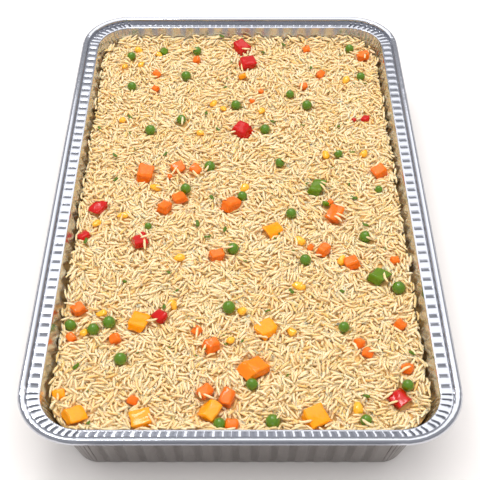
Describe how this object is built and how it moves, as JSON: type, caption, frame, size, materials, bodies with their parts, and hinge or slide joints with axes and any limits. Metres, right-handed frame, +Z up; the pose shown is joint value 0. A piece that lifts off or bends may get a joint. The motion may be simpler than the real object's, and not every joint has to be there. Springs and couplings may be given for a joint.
{
  "type": "foil tray meal",
  "caption": "Rectangular aluminium foil catering tray with fluted walls, a crimped flange and a rolled bead, filled with vegetable rice.",
  "frame": {"origin": "middle of the tray's flat base, on the surface it stands on", "axes": "+X across the tray's width, +Y along its length, +Z up out of the food; the picture looks from -Y and above"},
  "size_m": [0.325, 0.527, 0.0823],
  "materials": {
    "foil": "bright thin aluminium foil, crimped and fluted",
    "rice": "cooked long-grain rice, slightly oily, pale gold",
    "pea": "cooked green pea, satin skin",
    "corn": "cooked sweetcorn kernel, glossy yellow",
    "carrot": "cooked carrot dice, moist orange",
    "yellow_pepper": "cooked yellow pepper, glossy skin",
    "orange_pepper": "cooked orange pepper, glossy skin",
    "red_pepper": "cooked red pepper, glossy skin",
    "green_pepper": "cooked green pepper, glossy skin"
  },
  "bodies": {
    "root": {"carrot_01": "carrot", "carrot_02": "carrot", "carrot_03": "carrot", "carrot_04": "carrot", "carrot_05": "carrot", "carrot_06": "carrot", "carrot_07": "carrot", "carrot_08": "carrot", "carrot_09": "carrot", "carrot_10": "carrot", "carrot_11": "carrot", "carrot_12": "carrot", "carrot_13": "carrot", "carrot_14": "carrot", "carrot_15": "carrot", "corn_01": "corn", "corn_02": "corn", "corn_03": "corn", "corn_04": "corn", "corn_05": "corn", "corn_06": "corn", "corn_07": "corn", "corn_08": "corn", "green_pepper_01": "green_pepper", "green_pepper_02": "green_pepper", "orange_pepper_01": "orange_pepper", "pea_01": "pea", "pea_02": "pea", "pea_03": "pea", "pea_04": "pea", "pea_05": "pea", "pea_06": "pea", "pea_07": "pea", "pea_08": "pea", "pea_09": "pea", "pea_10": "pea", "pea_11": "pea", "pea_12": "pea", "pea_13": "pea", "pea_14": "pea", "pea_15": "pea", "pea_16": "pea", "pea_17": "pea", "pea_18": "pea", "pea_19": "pea", "red_pepper_01": "red_pepper", "red_pepper_02": "red_pepper", "red_pepper_03": "red_pepper", "red_pepper_04": "red_pepper", "red_pepper_05": "red_pepper", "red_pepper_06": "red_pepper", "rice": "rice", "tray": "foil", "yellow_pepper_01": "yellow_pepper", "yellow_pepper_02": "yellow_pepper", "yellow_pepper_03": "yellow_pepper", "yellow_pepper_04": "yellow_pepper", "yellow_pepper_05": "yellow_pepper", "yellow_pepper_06": "yellow_pepper", "yellow_pepper_07": "yellow_pepper"}
  },
  "joints": []
}
